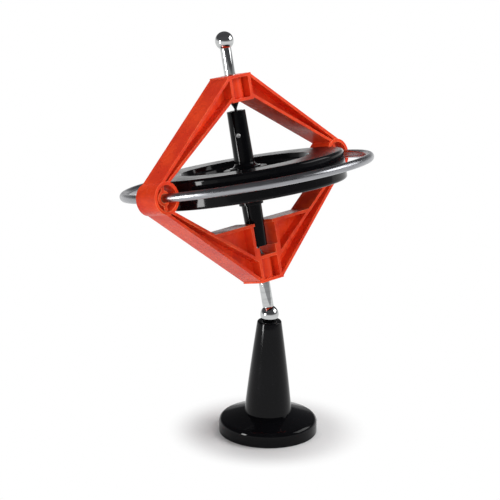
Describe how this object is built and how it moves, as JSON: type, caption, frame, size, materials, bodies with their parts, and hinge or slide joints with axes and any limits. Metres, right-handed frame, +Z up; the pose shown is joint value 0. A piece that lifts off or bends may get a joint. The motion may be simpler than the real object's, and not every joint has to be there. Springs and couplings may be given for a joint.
{
  "type": "gyroscope on stand",
  "caption": "Toy gyroscope with a black rotor in a diamond-shaped orange frame and steel ring, leaning on its ball end in the cup of a small black stand.",
  "frame": {"origin": "centre of the underside of the stand, on the table", "axes": "+Z up along the axis of the stand; the gyroscope leans towards +Y at rest; X is the hinge axis of the lean"},
  "size_m": [0.0906, 0.0803, 0.13],
  "materials": {
    "frame_orange": "moulded, half gloss",
    "stand_black": "polished",
    "rotor_black": "polished",
    "chrome": "mirror polished",
    "ring_steel": "drawn wire, satin",
    "pivot_steel": "ground and hardened",
    "weight_steel": "turned",
    "cup_brass": "turned"
  },
  "bodies": {
    "stand": {"stand_base": "stand_black", "stand_column": "stand_black"},
    "swivel_ball": {"lower_ball": "chrome"},
    "cage": {"gyro_frame": "frame_orange", "outer_ring": "ring_steel", "left_ring_grip": "frame_orange", "right_ring_grip": "frame_orange", "upper_ball": "chrome", "upper_rod": "chrome", "lower_rod": "chrome", "upper_pivot_point": "pivot_steel", "lower_pivot_point": "pivot_steel"},
    "rotor": {"rotor_body": "rotor_black", "rotor_weight_ring": "weight_steel", "rotor_cover_ring": "rotor_black", "rotor_shaft": "rotor_black", "rotor_collar": "rotor_black", "upper_bearing_cup": "cup_brass", "lower_bearing_cup": "cup_brass"}
  },
  "joints": [
    {"name": "precession", "type": "hinge", "parent": "stand", "child": "swivel_ball", "pos_m": [0, 0, 0.04035], "axis": [0, 0, 1], "continuous": true},
    {"name": "lean", "type": "hinge", "parent": "swivel_ball", "child": "cage", "pos_m": [0, 0, 0.04035], "axis": [-1, 0, 0], "range_deg": [-14.3, 65.7]},
    {"name": "rotor_spin", "type": "hinge", "parent": "cage", "child": "rotor", "pos_m": [0, 0.01104, 0.08367], "axis": [0, 0.247, 0.969], "continuous": true}
  ]
}
